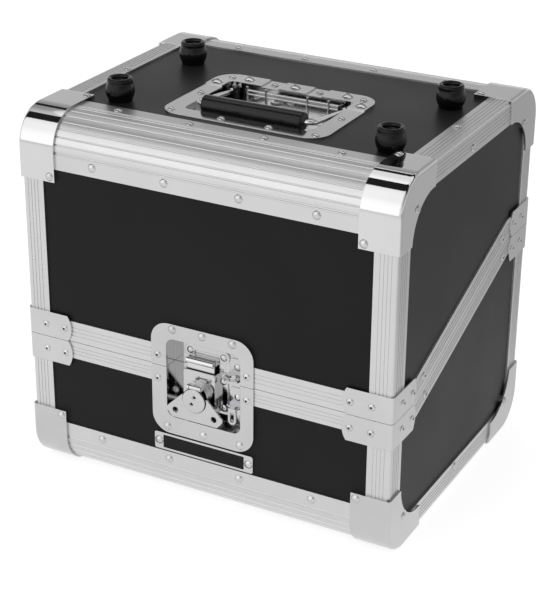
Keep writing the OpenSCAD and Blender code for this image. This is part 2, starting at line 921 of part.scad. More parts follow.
module base_lining() {
  pad_x = hw - inn - lining_t - 0.2;
  placed() color(dark) {
    mx() along_x(hw - inn - lining_t, hw - inn)
      intersection() {
        rrect(-hd + inn + 8.2, inn + 0.2, hd - inn - 8.2, case_h - inn, edge_r - inn);
        below(-18);
      }
    along_z(inn, inn + 6) rect(-pad_x, -hd + edge_leg + 1, pad_x, hd - edge_leg - 1);
    along_y(-hd + inn, -hd + inn + 8) {
      rect(-pad_x, edge_leg + 1, dish_u0, seam_front - 18);
      rect(dish_u1, edge_leg + 1, pad_x, seam_front - 18);
      rect(dish_u0 + pad_gap, edge_leg + 1, dish_u1 - pad_gap, dish_z_lo - sheet_t - 2);
    }
    along_y(hd - inn - 8, hd - inn) rect(-pad_x, edge_leg + 1, pad_x, seam_back - 18);
  }
}

// ---- rivets ----

module lid_rivets() {
  placed() color(steel) {
    solid_rivets(lid_top_r);
    solid_rivets(lid_topside_r);
    solid_rivets(lid_topcap_r);
    solid_rivets(lid_front_r);
    solid_rivets(lid_frontcap_r);
    solid_rivets(lid_back_r);
    solid_rivets(lid_backcap_r);
    solid_rivets(dish_up_r);
    solid_rivets(hand_r);
    solid_rivets(hinge_lid_r);
    plate_rivets(lid_dish_r);
    flip_side() solid_rivets(lid_side_r);
    flip_side() solid_rivets(lid_sidecap_r);
  }
}

module base_rivets() {
  placed() color(steel) {
    solid_rivets(base_floor_r);
    solid_rivets(base_floorcap_r);
    solid_rivets(base_front_r);
    solid_rivets(base_frontcap_r);
    solid_rivets(base_back_r);
    solid_rivets(base_backcap_r);
    solid_rivets(dish_dn_r);
    solid_rivets(plate_r);
    solid_rivets(hinge_base_r);
    plate_rivets(base_dish_r);
    flip_side() solid_rivets(base_side_r);
    flip_side() solid_rivets(base_sidecap_r);
  }
}

module lid_pop_rivets() {
  placed() color(steel) {
    pop_rivets(lid_front_p);
    pop_rivets(lid_back_p);
    flip_side() pop_rivets(lid_side_p);
  }
}

module base_pop_rivets() {
  placed() color(steel) {
    pop_rivets(base_front_p);
    pop_rivets(base_back_p);
    flip_side() pop_rivets(base_side_p);
  }
}

// ---- hinges ----

leaf_w = 44;
hinge_lid_r = [for (s = [-1, 1]) for (u = [-15, 15]) ["K", s * hinge_x / 2 + u, hinge_z + 21, 1.8]];
hinge_base_r = [for (s = [-1, 1]) for (u = [-15, 15]) ["K", s * hinge_x / 2 + u, hinge_z - 21, 1.8]];

module hinges() {
  for (s = [-1, 1]) translate([s * hinge_x / 2, 0, 0]) children();
}

module knuckle(x0, x1, r) {
  translate([x0, hinge_y, hinge_z]) rotate([0, 90, 0]) cylinder(r = r, h = x1 - x0);
}

module hinge_base_leaves() {
  placed() color(steel)
    difference() {
      hinges() difference() {
        union() {
          along_y(hd, hd + 1.8) rrect(-leaf_w / 2, hinge_z - 30, leaf_w / 2, hinge_z - 5.4, 3);
          translate([-leaf_w / 2, hd + 0.4, hinge_z - 9]) cube([leaf_w / 2 - 0.2, 1.8, 9]);
          knuckle(-leaf_w / 2, -0.2, knuck_r);
        }
        knuckle(-leaf_w, leaf_w, pin_r);
      }
      bores(hinge_base_r);
    }
}

module hinge_lid_leaves() {
  placed() color(steel)
    difference() {
      hinges() difference() {
        union() {
          along_y(hd, hd + 1.8) rrect(-leaf_w / 2, hinge_z + 5.4, leaf_w / 2, hinge_z + 30, 3);
          translate([0.2, hd + 0.4, hinge_z]) cube([leaf_w / 2 - 0.2, 1.8, 9]);
          knuckle(0.2, leaf_w / 2, knuck_r);
        }
        knuckle(-leaf_w, leaf_w, pin_r + run_gap);
      }
      bores(hinge_lid_r);
    }
}

module hinge_pins() {
  placed() color(steel) hinges() knuckle(-leaf_w / 2, leaf_w / 2 - 1, pin_r);
}

// ---- latch ----

module latch_dish() {
  along_y(-hd - sheet_t, -hd)
    difference() {
      rrect(-dish_w / 2, dish_z0, dish_w / 2, dish_z1, dish_r);
      dish_hole(0);
    }
  along_y(-hd, -hd + st)
    difference() {
      rrect(-dish_w / 2, dish_z0, dish_w / 2, dish_z1, dish_r);
      rrect(-dish_w / 2 + 1.5, dish_z0 + 1.5, dish_w / 2 - 1.5, dish_z1 - 1.5, dish_r - 1.5);
    }
  along_y(-hd, -hd + dish_d + sheet_t)
    difference() {
      dish_hole(sheet_t);
      dish_hole(0);
    }
  along_y(-hd + dish_d, -hd + dish_d + sheet_t) dish_hole(0.5);
}

module dish_upper() {
  placed() color(steel)
    difference() {
      latch_dish();
      translate([-100, -hd - 10, 0]) cube([200, 60, seam_front + hg]);
      bores(dish_up_r);
      bores(lid_front_p);
      plate_bores(lid_dish_r);
    }
}

module dish_lower() {
  placed() color(steel)
    difference() {
      latch_dish();
      translate([-100, -hd - 10, seam_front - hg]) cube([200, 60, 100]);
      bores(dish_dn_r);
      bores(base_front_p);
      plate_bores(base_dish_r);
    }
}

// y of the front plane at depth d behind it
module on_front(d0, d1) {
  along_y(-hd + d0, -hd + d1) children();
}

// layers of the latch, as depths behind the face plane
cover_b = cover_d + cover_t;
disc_a = cover_b + 0.1;
disc_b = disc_a + 1.1;
tongue_a = disc_b + 0.3;
tongue_b = tongue_a + tongue_t;

module keeper() {
  placed() color(steel)
    difference() {
      union() {
        on_front(back_a, dish_d) rrect(key_x0, key_z - key_r, key_x1, key_z + key_r, key_r - 0.1);
        on_front(back_a - 1.4, back_a + 0.1) rrect(tg0 - 0.5, seam_front + 4.5, tg1 + 0.5, key_z - 4.2, 1.5);
        on_front(back_a, dish_d) rrect(tg0 - 0.5, seam_front + 4.5, tg1 + 0.5, key_z - 3, 1.5);
      }
      on_front(back_a - 2, dish_d + 1) rrect(tg0 + 5.5, key_z - 4.1, tg1 + 3, key_z + 1, 1);
      plate_bores(lid_dish_r);
    }
}

module lid_lock_tab() {
  placed() color(steel)
    difference() {
      union() {
        on_front(back_a, dish_d) rrect(lock_x0 + 0.5, seam_front + 1.6, lock_x1 - 0.5, seam_front + 17, 2);
        along_z(seam_front + 1.6, seam_front + 3.6) {
          rect(lock_x0, -hd + lock_y, lock_x1, -hd + dish_d);
          translate([lock_cx, -hd + lock_y]) circle(lock_w / 2);
        }
      }
      translate([lock_cx, -hd + lock_y, seam_front]) cylinder(r = lock_r, h = 10);
      plate_bores(lid_dish_r);
    }
}

// plate with a forward lip and a hanging padlock eye
module base_lock_tab() {
  eye_w = 4;
  placed() color(steel)
    difference() {
      union() {
        on_front(back_a, dish_d) rrect(lock_x0, lug_z - 8, lock_x1, lug_z + 9, 2);
        on_front(6, dish_d) rect(lock_x0, lug_z - 8, lock_x1, lug_z - 6.4);
        on_front(1.4, 6.1) rect(lock_cx - eye_w, lug_z - 8, lock_cx + eye_w, lug_z - 6.4);
        on_front(1.4, 3.2) rrect(lock_cx - eye_w, lug_z - 22, lock_cx + eye_w, lug_z - 6.4, eye_w - 0.1);
      }
      on_front(0, 5) rrect(lock_cx - eye_w + 2, lug_z - 20, lock_cx + eye_w - 2, lug_z - 9.5, 1.9);
      plate_bores(base_dish_r);
    }
}

module latch_cover() {
  z0 = latch_z - 19;
  z1 = seam_front - 1.6;
  placed() color(steel)
    difference() {
      union() {
        on_front(cover_d, cover_b) rrect(tg0 - 2.2, z0, tg1 + 2.2, z1, 2);
        on_front(cover_d + 0.6, dish_d) rect(tg0 - 2.2, z0, tg0 - 0.5, z1);
        on_front(cover_d + 0.6, dish_d) rect(tg1 + 0.5, z0, tg1 + 2.2, z1);
        on_front(back_a, dish_d) rect(tg1 + 0.5, z0, foot_x + 4.5, z1);
      }
      from_front(0, dish_d - 2, spin_r + run_gap);
      plate_bores(base_dish_r);
    }
}

slot_z = latch_z - crank_e;
crank_r = 1.75;

module latch_tongue() {
  hook_z = seam_front + 7.5;
  hook_y = -hd + tongue_a - 0.5;
  placed() color(chrome)
    difference() {
      union() {
        on_front(tongue_a, tongue_b) rect(tg0, latch_z - 15, tg1, hook_z);
        translate([tg0, hook_y, hook_z]) rotate([0, 90, 0]) cylinder(r = hook_r, h = tongue_w);
      }
      translate([tg0 - 1, hook_y, hook_z]) rotate([0, 90, 0]) cylinder(r = hook_r - tongue_t, h = tongue_w + 2);
      on_front(tongue_a - 1, tongue_b + 1)
        rrect(-latch_x - crank_e - 2.4, slot_z - 3.1, -latch_x + crank_e + 2.4, slot_z + 3.1, 3);
    }
}

pin_o = drum_r - 2;
wing_y = -hd - wing_l;
ear_x = 6;
ear_t = 2;
wing_pin = 1.2;

module from_front(d0, d1, r) {
  translate([-latch_x, -hd + d1, latch_z]) rotate([90, 0, 0]) cylinder(r = r, h = d1 - d0);
}

module pivot_rod(x, l, r) {
  translate([x, wing_y, latch_z + pin_o]) rotate([0, 90, 0]) cylinder(r = r, h = l);
}

// drum with its foot ring, shaft, retaining disc, crank pin and two ears for the wing
module latch_spindle() {
  placed() color(steel)
    difference() {
      union() {
        from_front(-0.2, cover_d - 0.1, drum_r);
        from_front(cover_d - 1.3, cover_d - 0.1, drum_r + 1.2);
        from_front(cover_d - 0.2, disc_a + 0.1, spin_r);
        from_front(disc_a, disc_b, 8);
        translate([0, 0, -crank_e]) from_front(disc_b - 0.1, tongue_b + 0.8, crank_r);
        for (s = [-1, 1]) {
          pivot_rod(-latch_x + s * ear_x - ear_t / 2, ear_t, ear_r);
          translate([-latch_x + s * ear_x - ear_t / 2, wing_y, latch_z + pin_o - ear_r + 0.1])
            cube([ear_t, wing_l + 0.2, 2 * ear_r - 0.2]);
        }
      }
      pivot_rod(-latch_x - 20, 40, wing_pin);
    }
}

module latch_pin() {
  placed() color(steel) pivot_rod(-latch_x - ear_x - 1.4, 2 * ear_x + 2.8, wing_pin);
}

wing_a = -wing_l - wing_t / 2;
wing_b = -wing_l + wing_t / 2;
knuckle_w = ear_x - ear_t / 2 - 0.3;

// folding wing with its pressed disc, knuckle and two finger holes
module latch_wing() {
  w = wing_w;
  placed() color(steel)
    difference() {
      union() {
        translate([-latch_x, 0, latch_z]) {
          on_front(wing_a, wing_b)
            polygon([[-13, 0], [13, 0], [w, -15.5], [w, -18.5], [w - 2.6, -22], [w - 5.6, -25],
              [5.6 - w, -25], [2.6 - w, -22], [-w, -18.5], [-w, -15.5]]);
          on_front(wing_a, wing_b) rect(-knuckle_w, -1, knuckle_w, pin_o);
          on_front(wing_a - 0.8, wing_a + 0.1) translate([0, -3.4]) circle(wing_disc);
        }
        pivot_rod(-latch_x - knuckle_w, 2 * knuckle_w, 2.2);
      }
      pivot_rod(-latch_x - 20, 40, wing_pin + run_gap);
      translate([-latch_x, 0, latch_z]) {
        for (s = [-1, 1]) on_front(-6, 0) translate([s * 19.8, -17.5]) circle(3);
        for (q = [[0.6, 0.3], [-2.3, -7]]) on_front(-6, wing_a - 0.4) translate(q) circle(2.2);
      }
    }
}

// ---- name plate, left bare ----

module name_plate() {
  placed() color(steel)
    difference() {
      on_front(-0.6, st) rrect(-51, plate_z - 8.6, 51, plate_z + 8.6, 2);
      on_front(-1, 0.2) rrect(-42, plate_z - 6.6, 42, plate_z + 6.6, 1);
      bores(plate_r);
      for (p = plate_r) at(p[0], p[1], p[2]) translate([0, 0, -0.6]) cylinder(d = rivet_d + 0.4, h = 4);
    }
}

module name_field() {
  placed() color(dark) on_front(-0.1, 0.2) rrect(-41.9, plate_z - 6.5, 41.9, plate_z + 6.5, 0.9);
}

// ---- handle ----

module hand_flange(c) {
  rrect(-hd_w / 2 + c, hd_y0 + c, hd_w / 2 - c, hd_y1 - c, hd_r - c);
}

// raised part of the back flange, with two lower bays for rivets
module hand_pad() {
  difference() {
    intersection() {
      hand_flange(0);
      rect(-hd_w / 2, hand_b - 17, hd_w / 2, hd_y1);
    }
    hand_hole(0);
    rect(-32, hand_b - 1, -14, hd_y1 + 1);
    rect(14, hand_b - 1, 30, hd_y1 + 1);
  }
}

floor_z = hand_z - hd_d;
dish_ribs = [-46.5, -26.5, 16, 37.5];

module handle_dish() {
  placed() color(steel)
    difference() {
      union() {
        along_z(hand_z, hand_z + sheet_t)
          difference() {
            hand_flange(0);
            hand_hole(0);
          }
        along_z(hand_z, hand_z + sheet_t + pad_h) hand_pad();
        along_z(floor_z - sheet_t, hand_z + 0.1)
          difference() {
            hand_hole(sheet_t);
            hand_hole(0);
          }
        along_z(floor_z - sheet_t, floor_z) hand_hole(0.5);
        for (y = [-30, -10])
          translate([-50, y, floor_z - 1.2]) rotate([0, 90, 0]) cylinder(r = 2.4, h = 100);
        for (h = [4, 7.6])
          translate([-48, hand_b, hand_z - h]) rotate([0, 90, 0]) cylinder(r = 0.9, h = 96);
        for (x = dish_ribs) translate([x, hand_b, floor_z - 0.5]) cylinder(r = 1.2, h = hd_d);
        translate([-20, 4, floor_z - 0.1]) cylinder(r = 6.5, h = 1.4);
        for (x = [-44, -8]) translate([x, 1, floor_z - 0.1]) dome(rivet_d - 1, plate_head);
      }
      translate([-20, 4, floor_z + 0.3]) cylinder(r = 3.5, h = 4);
      bores(hand_r);
      for (p = hand_bolts) translate([p[0], p[1], case_h - 10]) cylinder(r = bolt_r, h = 20);
    }
}

bolt_r = 3;
bolt_u = hd_w / 2 - 8;
hand_bolts = [[-bolt_u, 5], [-50, hd_y1 - 9], [-2, hd_y1 - 9.5], [51, hd_y1 - 9], [bolt_u, 7]];

module handle_bolts() {
  placed() color(steel)
    for (p = hand_bolts) translate([p[0], p[1], hand_z]) difference() {
      union() {
        cylinder(r = bolt_r, h = sheet_t + pad_h + 0.2);
        translate([0, 0, sheet_t + pad_h]) dome(12, 2.6);
      }
      translate([0, 0, sheet_t + pad_h + 1.4]) cylinder(r = 2, h = 4, $fn = 6);
    }
}

module bail_rod(x, l, r) {
  translate([x, bail_y, bail_z]) rotate([0, 90, 0]) cylinder(r = r, h = l);
}

module handle_axle() {
  placed() color(steel) mx() bail_rod(bail_w / 2 - saddle_w / 2 + 0.2, saddle_w - 0.4, axle_r);
}

// black forks in the back corners of the dish, which hold the bail's pivot pins
module handle_saddles() {
  slot = bail_d / 2 + saddle_gap;
  placed() color(dark)
    mx() translate([bail_w / 2, 0, 0])
      difference() {
        along_x(-saddle_w / 2, saddle_w / 2) rrect(bail_y - 4.5, floor_z, bail_y + 4, case_h - 1, 1);
        translate([-slot, bail_y - 10, bail_z - eye_r - 0.4]) cube([2 * slot, 20, 20]);
        translate([-bail_w / 2, 0, 0]) bail_rod(0, bail_w, axle_r);
      }
}

module in_bail() {
  translate([0, bail_y, bail_z]) rotate([-bail_a, 0, 0]) rotate([0, 0, 180]) children();
}

module bail() {
  arm = bail_w / 2;
  placed() color(chrome)
    difference() {
      in_bail() {
        mx() {
          translate([arm, 0, 0]) rotate([-90, 0, 0]) cylinder(d = bail_d, h = bail_l - bend_r);
          translate([arm - bend_r, bail_l - bend_r, 0])
            rotate_extrude(angle = 90) translate([bend_r, 0]) circle(d = bail_d);
          translate([arm - eye_l / 2, 0, 0]) rotate([0, 90, 0]) cylinder(r = eye_r, h = eye_l);
        }
        translate([-arm + bend_r, bail_l, 0]) rotate([0, 90, 0]) cylinder(d = bail_d, h = bail_w - 2 * bend_r);
      }
      bail_rod(-bail_w, 2 * bail_w, axle_r + run_gap);
    }
}

grip_e = 1.5;

module grip() {
  placed() color(dark)
    in_bail() translate([-grip_l / 2, bail_l, 0]) rotate([0, 90, 0])
      difference() {
        rotate_extrude() {
          square([grip_d / 2 - grip_e, grip_l]);
          translate([0, grip_e]) square([grip_d / 2, grip_l - 2 * grip_e]);
          translate([grip_d / 2 - grip_e, grip_e]) circle(grip_e);
          translate([grip_d / 2 - grip_e, grip_l - grip_e]) circle(grip_e);
        }
        translate([0, 0, -1]) cylinder(d = bail_d + 0.04, h = grip_l + 2);
      }
}

// ---- feet ----

module feet() {
  placed() color(dark)
    for (x = fx) for (y = fy) translate([x, y, case_h - st])
      rotate_extrude()
        difference() {
          union() {
            square([foot_d / 2 - 2.5, foot_h + st]);
            translate([0, 5 + st]) square([foot_d / 2, foot_h - 8]);
            translate([foot_d / 2 - 3, foot_h + st - 3]) circle(3);
            translate([foot_d / 2 - 3, st + 5]) circle(3);
          }
          square([2.05, foot_h + 5]);
          translate([0, foot_h + st - 6]) square([8, 10]);
        }
}

module foot_screws() {
  placed() color(steel)
    for (x = fx) for (y = fy) translate([x, y, case_h]) difference() {
      union() {
        translate([0, 0, -inn]) cylinder(r = 2, h = inn + foot_h - 5.5);
        translate([0, 0, foot_h - 6]) dome(9, 2.6);
      }
      translate([0, 0, foot_h - 4.8]) for (a = [0, 90]) rotate(a) translate([-2.5, -0.5, 0]) cube([5, 1, 4]);
    }
}

lid_top_panel();
lid_front_panel();
lid_back_panel();
lid_side_left();
lid_side_right();
base_floor();
base_front_panel();
base_back_panel();
base_side_left();
base_side_right();
lid_edge_front();
lid_edge_back();
base_edge_front();
base_edge_back();
lid_side_profiles();
base_side_profiles();
lid_uprights();
base_uprights();
lid_frame();
base_frame();
lid_caps_front();
lid_caps_back();
base_caps();
lid_brackets();
base_brackets();
lid_lining();
base_lining();
lid_rivets();
base_rivets();
lid_pop_rivets();
base_pop_rivets();
hinge_lid_leaves();
hinge_base_leaves();
hinge_pins();
dish_upper();
dish_lower();
keeper();
lid_lock_tab();
base_lock_tab();
latch_cover();
latch_tongue();
latch_spindle();
latch_pin();
latch_wing();
name_plate();
name_field();
handle_dish();
handle_bolts();
handle_axle();
handle_saddles();
bail();
grip();
feet();
foot_screws();
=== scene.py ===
import math

import bpy
import bmesh
from mathutils import Matrix, Vector


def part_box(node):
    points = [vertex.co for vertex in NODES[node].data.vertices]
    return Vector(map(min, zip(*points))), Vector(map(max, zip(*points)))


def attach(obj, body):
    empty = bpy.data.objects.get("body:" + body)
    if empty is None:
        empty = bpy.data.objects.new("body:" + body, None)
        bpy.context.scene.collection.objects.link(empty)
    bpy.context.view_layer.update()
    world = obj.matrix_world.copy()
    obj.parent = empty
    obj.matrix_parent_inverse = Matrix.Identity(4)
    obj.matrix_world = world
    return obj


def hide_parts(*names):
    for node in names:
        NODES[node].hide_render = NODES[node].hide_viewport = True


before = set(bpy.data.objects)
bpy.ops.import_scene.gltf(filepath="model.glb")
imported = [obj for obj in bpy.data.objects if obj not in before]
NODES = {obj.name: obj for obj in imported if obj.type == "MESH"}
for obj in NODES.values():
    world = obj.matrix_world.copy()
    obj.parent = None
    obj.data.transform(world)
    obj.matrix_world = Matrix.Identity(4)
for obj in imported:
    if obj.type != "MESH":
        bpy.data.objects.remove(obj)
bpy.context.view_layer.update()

MM = 0.001


# ---------------------------------------------------------------- camera

cam_data = bpy.data.cameras.new("view")
cam_data.lens = 102.8
cam_data.sensor_width = 36.0
cam_data.clip_start = 0.05
cam_data.clip_end = 60.0
cam = bpy.data.objects.new("view", cam_data)
bpy.context.scene.collection.objects.link(cam)
cam.location = (0.68546, -1.30947, 0.84351)
cam.rotation_mode = "XYZ"
cam.rotation_euler = [math.radians(a) for a in (64.809, -0.42, 28.214)]
bpy.context.scene.camera = cam
bpy.context.scene.view_settings.view_transform = "Standard"

# ---------------------------------------------------------------- materials

MOTTLE_SCALE = 160.0
STREAK_SCALE = 2600.0
STREAK_STRETCH = 0.02
METAL_CLOUD_SCALE = 14.0
LAMINATE_GRAIN_SCALE = 1500.0
LAMINATE_CLOUD_SCALE = 9.0
BEVEL_SAMPLES = 6
WHITE = (1, 1, 1, 1)


def new_material(name):
    m = bpy.data.materials.new(name)
    m.use_nodes = True
    nt = m.node_tree
    nt.nodes.clear()
    out = nt.nodes.new("ShaderNodeOutputMaterial")
    sh = nt.nodes.new("ShaderNodeBsdfPrincipled")
    nt.links.new(sh.outputs[0], out.inputs["Surface"])
    return m, nt, sh


def coords(nt, scale=(1, 1, 1)):
    tc = nt.nodes.new("ShaderNodeTexCoord")
    mp = nt.nodes.new("ShaderNodeMapping")
    mp.inputs["Scale"].default_value = scale
    nt.links.new(tc.outputs["Object"], mp.inputs["Vector"])
    return mp.outputs["Vector"]


def noise(nt, vec, scale, detail=3.0, rough=0.55):
    n = nt.nodes.new("ShaderNodeTexNoise")
    n.inputs["Scale"].default_value = scale
    n.inputs["Detail"].default_value = detail
    n.inputs["Roughness"].default_value = rough
    nt.links.new(vec, n.inputs["Vector"])
    return n.outputs["Fac"]


def span(nt, fac, low, high, a, b):
    """Maps the range low to high onto a to b."""
    r = nt.nodes.new("ShaderNodeMapRange")
    r.inputs["From Min"].default_value = low
    r.inputs["From Max"].default_value = high
    r.inputs["To Min"].default_value = a
    r.inputs["To Max"].default_value = b
    nt.links.new(fac, r.inputs["Value"])
    return r.outputs["Result"]


def tint(nt, fac, c0, c1, low=0.3, high=0.7):
    r = nt.nodes.new("ShaderNodeValToRGB")
    r.color_ramp.elements[0].position = low
    r.color_ramp.elements[0].color = (*c0, 1)
    r.color_ramp.elements[1].position = high
    r.color_ramp.elements[1].color = (*c1, 1)
    nt.links.new(fac, r.inputs["Fac"])
    return r.outputs["Color"]


def bump(nt, height, distance, strength=1.0, under=None):
    b = nt.nodes.new("ShaderNodeBump")
    b.inputs["Strength"].default_value = strength
    b.inputs["Distance"].default_value = distance
    nt.links.new(height, b.inputs["Height"])
    if under is not None:
        nt.links.new(under, b.inputs["Normal"])
    return b.outputs["Normal"]


def round_edge(nt, radius):
    b = nt.nodes.new("ShaderNodeBevel")
    b.samples = BEVEL_SAMPLES
    b.inputs["Radius"].default_value = radius
    return b.outputs["Normal"]


def metal(name, base, dark, rough, spread, streak=None, edge=0.0005, bump_d=0.00002):
    """Metal with uneven polish: fine streaks along one axis or an even mottle, and soft edges."""
    m, nt, sh = new_material(name)
    sh.inputs["Metallic"].default_value = 1.0
    fine = noise(nt, coords(nt, streak or (1, 1, 1)), STREAK_SCALE if streak else MOTTLE_SCALE, 2.0)
    wide = noise(nt, coords(nt), METAL_CLOUD_SCALE, 3.0)
    nt.links.new(tint(nt, wide, dark, base, 0.32, 0.62), sh.inputs["Base Color"])
    uneven = span(nt, fine, 0.3, 0.7, rough - spread, rough + spread)
    nt.links.new(uneven, sh.inputs["Roughness"])
    soft = round_edge(nt, edge) if edge else None
    nt.links.new(bump(nt, fine, bump_d, 1.0, soft), sh.inputs["Normal"])
    return m


def aluminium(axis):
    """Satin aluminium, streaked along the length of the profile."""
    streak = [1, 1, 1]
    streak["xyz".index(axis)] = STREAK_STRETCH
    return metal("satin_aluminium_" + axis, (0.585, 0.585, 0.59), (0.565, 0.565, 0.57),
                 0.38, 0.015, streak, 0, 0.0000015)


def laminate(name):
    m, nt, sh = new_material(name)
    v = coords(nt)
    grain = noise(nt, v, LAMINATE_GRAIN_SCALE, 2.0)
    cloud = noise(nt, v, LAMINATE_CLOUD_SCALE, 4.0)
    shade = tint(nt, cloud, (0.0085, 0.0085, 0.0088), (0.0115, 0.0115, 0.0118))
    nt.links.new(shade, sh.inputs["Base Color"])
    nt.links.new(span(nt, cloud, 0.3, 0.7, 0.34, 0.42), sh.inputs["Roughness"])
    sh.inputs["Specular IOR Level"].default_value = 0.12
    nt.links.new(bump(nt, grain, 0.00001, 0.6), sh.inputs["Normal"])
    return m


def plain(name, c0, c1, r0, r1, scale, bump_d, specular=0.5):
    """Plain surface between two tones c0 and c1 and two roughnesses r0 and r1."""
    m, nt, sh = new_material(name)
    n = noise(nt, coords(nt), scale)
    nt.links.new(tint(nt, n, c0, c1), sh.inputs["Base Color"])
    nt.links.new(span(nt, n, 0.3, 0.7, r0, r1), sh.inputs["Roughness"])
    nt.links.new(bump(nt, n, bump_d), sh.inputs["Normal"])
    sh.inputs["Specular IOR Level"].default_value = specular
    return m


LAM = laminate("black_laminate")
ALU_X, ALU_Y, ALU_Z = [aluminium(axis) for axis in "xyz"]
STEEL = metal("zinc_steel", (0.56, 0.56, 0.565), (0.52, 0.52, 0.525),
              0.20, 0.03, None, 0.0005, 0.000003)
SATIN = metal("satin_steel", (0.52, 0.52, 0.525), (0.49, 0.49, 0.495),
              0.19, 0.03, None, 0.0006, 0.000003)
BRIGHT = metal("pressed_nickel", (0.53, 0.53, 0.535), (0.50, 0.50, 0.505),
               0.10, 0.02, None, 0.0005, 0.000001)
RIVET = metal("rivet_steel", (0.55, 0.55, 0.555), (0.46, 0.46, 0.465),
              0.15, 0.04, None, 0.0003, 0.000002)
CHROME = metal("bright_nickel", (0.60, 0.60, 0.605), (0.58, 0.58, 0.585),
               0.05, 0.015, None, 0.0008, 0.000002)
RUBBER = plain("black_rubber", (0.003, 0.003, 0.003), (0.005, 0.005, 0.005),
               0.10, 0.16, 90.0, 0.000004, 0.2)
# near-black used only for painted shade: the gap round the wing disc, the dimple floors and the
# hollows of the pop rivet heads
SHADE_BLACK = plain("painted_shade_black", (0.004, 0.004, 0.004), (0.006, 0.006, 0.006),
              0.5, 0.6, 300.0, 0.000002, 0.1)
GRIP = plain("black_sleeve", (0.006, 0.006, 0.006), (0.010, 0.010, 0.010),
             0.16, 0.24, 120.0, 0.000004, 0.25)
FOAM = plain("grey_foam", (0.03, 0.03, 0.032), (0.07, 0.07, 0.072),
             0.85, 0.98, 1300.0, 0.0002)
FIELD = plain("dark_field", (0.008, 0.008, 0.008), (0.011, 0.011, 0.011),
              0.35, 0.45, 700.0, 0.000002, 0.13)

LOOK = (
    (LAM, ["lid_top_panel", "lid_front_panel", "lid_back_panel", "lid_side_left", "lid_side_right",
           "base_floor", "base_front_panel", "base_back_panel", "base_side_left",
           "base_side_right"]),
    (ALU_X, ["lid_edge_front", "lid_edge_back", "base_edge_front", "base_edge_back",
             "lid_frame", "base_frame"]),
    (ALU_Y, ["lid_side_profiles", "base_side_profiles"]),
    (ALU_Z, ["lid_uprights", "base_uprights"]),
    (STEEL, ["lid_brackets", "base_brackets", "hinge_lid_leaves", "hinge_base_leaves",
             "name_plate"]),
    (SATIN, ["lid_caps_back", "base_caps"]),
    (BRIGHT, ["dish_upper", "dish_lower", "handle_dish", "keeper", "lid_lock_tab",
              "base_lock_tab", "latch_cover", "latch_wing"]),
    (RIVET, ["lid_rivets", "base_rivets", "lid_pop_rivets", "base_pop_rivets", "hinge_pins",
             "handle_bolts", "handle_axle", "foot_screws", "latch_pin", "latch_spindle"]),
    (CHROME, ["lid_caps_front", "bail", "latch_tongue"]),
    (RUBBER, ["feet"]),
    (GRIP, ["grip", "handle_saddles"]),
    (FOAM, ["lid_lining", "base_lining"]),
    (FIELD, ["name_field"]),
)
for mat, names in LOOK:
    for name in names:
        me = NODES[name].data
        me.materials.clear()
        me.materials.append(mat)

# ---------------------------------------------------------------- pieces made here

SMOOTH_BELOW = math.radians(32)
ON_AXIS = 1e-9


def finish_piece(bm, name, mat, body):
    bmesh.ops.remove_doubles(bm, verts=bm.verts, dist=1e-7)
    bmesh.ops.recalc_face_normals(bm, faces=bm.faces)
    me = bpy.data.meshes.new(name)
    for f in bm.faces:
        f.smooth = True
    for e in bm.edges:
        e.smooth = len(e.link_faces) == 2 and e.calc_face_angle(0.0) < SMOOTH_BELOW
    bm.to_mesh(me)
    bm.free()
    me.materials.append(mat)
    o = bpy.data.objects.new(name, me)
    bpy.context.scene.collection.objects.link(o)
    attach(o, body)
    return o


def lathe(bm, profile, place, steps):
    """Turns (radius, height) points in mm about the local Z of place.

    A profile that starts and ends off the axis, at two different points, closes into a ring.
    """
    points = [(r * MM, h * MM) for r, h in profile]
    angles = [k * math.tau / steps for k in range(steps)]
    rings = []
    for r, h in points:
        if r < ON_AXIS:
            spots = [Vector((0, 0, h))]
        else:
            spots = [Vector((r * math.cos(a), r * math.sin(a), h)) for a in angles]
        rings.append([bm.verts.new(place @ spot) for spot in spots])
    first, last = points[0], points[-1]
    closed = first != last and first[0] > ON_AXIS and last[0] > ON_AXIS
    pairs = list(zip(rings, rings[1:])) + ([(rings[-1], rings[0])] if closed else [])
    for a, b in pairs:
        for k in range(steps):
            m = (k + 1) % steps
            ring = []
            for v in (a[k % len(a)], a[m % len(a)], b[m % len(b)], b[k % len(b)]):
                if v not in ring:
                    ring.append(v)
            if len(ring) > 2:
                bm.faces.new(ring)


def arc(cr, ch, r, a0, a1, steps):
    """Points on an arc in the (radius, height) plane, angles in degrees."""
    return [(cr + r * math.cos(math.radians(a0 + (a1 - a0) * k / steps)),
             ch + r * math.sin(math.radians(a0 + (a1 - a0) * k / steps)))
            for k in range(steps + 1)]


def islands(node):
    """Bounds of each loose part of a CAD node, from its own mesh."""
    me = NODES[node].data
    where = {}
    home = list(range(len(me.vertices)))

    def root(i):
        while home[i] != i:
            home[i] = home[home[i]]
            i = home[i]
        return i

    for i, v in enumerate(me.vertices):
        key = tuple(round(c, 6) for c in v.co)
        j = where.setdefault(key, i)
        home[root(i)] = root(j)
    for e in me.edges:
        a, b = e.vertices
        home[root(a)] = root(b)
    boxes = {}
    for i, v in enumerate(me.vertices):
        lo, hi = boxes.setdefault(root(i), (v.co.copy(), v.co.copy()))
        for k in range(3):
            lo[k] = min(lo[k], v.co[k])
            hi[k] = max(hi[k], v.co[k])
    return sorted(boxes.values(), key=lambda b: tuple(round(c, 4) for c in b[0]))


